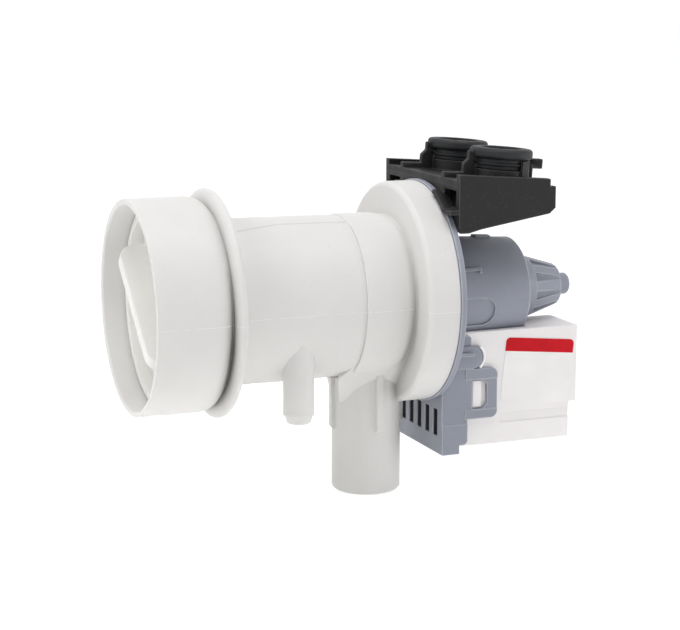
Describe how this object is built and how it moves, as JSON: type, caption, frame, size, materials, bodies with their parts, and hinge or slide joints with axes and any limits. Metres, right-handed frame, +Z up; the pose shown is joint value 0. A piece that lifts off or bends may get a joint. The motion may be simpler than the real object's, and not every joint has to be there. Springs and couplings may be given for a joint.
{
  "type": "drain pump",
  "caption": "Washing-machine drain pump: round filter housing with recessed twist knob, volute with hose spigots, grey canned motor, coil cover and rubber-bushed top bracket",
  "frame": {"origin": "centre of the filter mouth, on the housing axis at the front edge of the collar", "axes": "+X along the pump axis from the filter mouth to the motor, +Z up with the bracket on top and the outlet below, -Y towards the side with the label"},
  "size_m": [0.163, 0.0909, 0.1207],
  "materials": {
    "housing_white": "moulded off-white polypropylene, satin",
    "filter_white": "moulded off-white polypropylene, satin",
    "seal_rubber": "soft black rubber",
    "motor_grey": "moulded blue-grey plastic, fine grain",
    "tube_plastic": "pale moulded plastic",
    "magnet_ferrite": "sintered ferrite, dull dark grey",
    "rotor_plastic": "dark moulded plastic",
    "shaft_steel": "ground steel",
    "bush_carbon": "carbon-filled bearing material",
    "washer_plastic": "smooth bearing plastic",
    "impeller_plastic": "dark grey moulded plastic",
    "core_steel": "stacked electrical steel",
    "bobbin_plastic": "pale moulded plastic",
    "winding_copper": "enamelled copper wire",
    "cutout_plastic": "dark plastic case",
    "cover_white": "moulded warm white plastic, satin",
    "label_white": "white film label with a plain red band",
    "terminal_brass": "tinned brass",
    "bracket_black": "moulded black plastic, fine grain",
    "grommet_rubber": "soft black rubber"
  },
  "bodies": {
    "housing": {"housing_collar": "housing_white", "housing_chamber": "housing_white", "housing_volute": "housing_white", "flange_seal": "seal_rubber", "motor_flange": "motor_grey", "rotor_tube": "tube_plastic", "front_bush": "bush_carbon", "rear_bush": "bush_carbon", "front_bush_mount": "seal_rubber", "rear_bush_mount": "seal_rubber", "stator_core": "core_steel", "bobbin_near": "bobbin_plastic", "bobbin_far": "bobbin_plastic", "winding_near": "winding_copper", "winding_far": "winding_copper", "thermal_cutout": "cutout_plastic", "stator_frame": "motor_grey", "stator_cover": "cover_white", "label_plate": "label_white", "spade_terminals": "terminal_brass", "mounting_bracket": "bracket_black", "grommet_near": "grommet_rubber", "grommet_far": "grommet_rubber"},
    "filter_basket": {"filter_basket": "filter_white"},
    "filter_knob": {"filter_knob": "filter_white", "filter_seal": "seal_rubber"},
    "rotor": {"rotor_magnet": "magnet_ferrite", "rotor_sleeve": "rotor_plastic", "rotor_shaft": "shaft_steel", "thrust_washers": "washer_plastic", "drive_dog": "rotor_plastic", "shaft_clip": "shaft_steel"},
    "impeller": {"impeller": "impeller_plastic"}
  },
  "joints": [
    {"name": "filter_withdraw", "type": "slide", "parent": "housing", "child": "filter_basket", "axis": [-1, 0, 0], "range_m": [0, 0.08]},
    {"name": "filter_turn", "type": "hinge", "parent": "filter_basket", "child": "filter_knob", "pos_m": [0, 0, 0], "axis": [1, 0, 0], "range_deg": [0, 90]},
    {"name": "rotor_spin", "type": "hinge", "parent": "housing", "child": "rotor", "pos_m": [0, 0, -0.0012], "axis": [1, 0, 0], "continuous": true},
    {"name": "impeller_play", "type": "hinge", "parent": "rotor", "child": "impeller", "pos_m": [0, 0, -0.0012], "axis": [1, 0, 0], "range_deg": [-135, 135]}
  ]
}
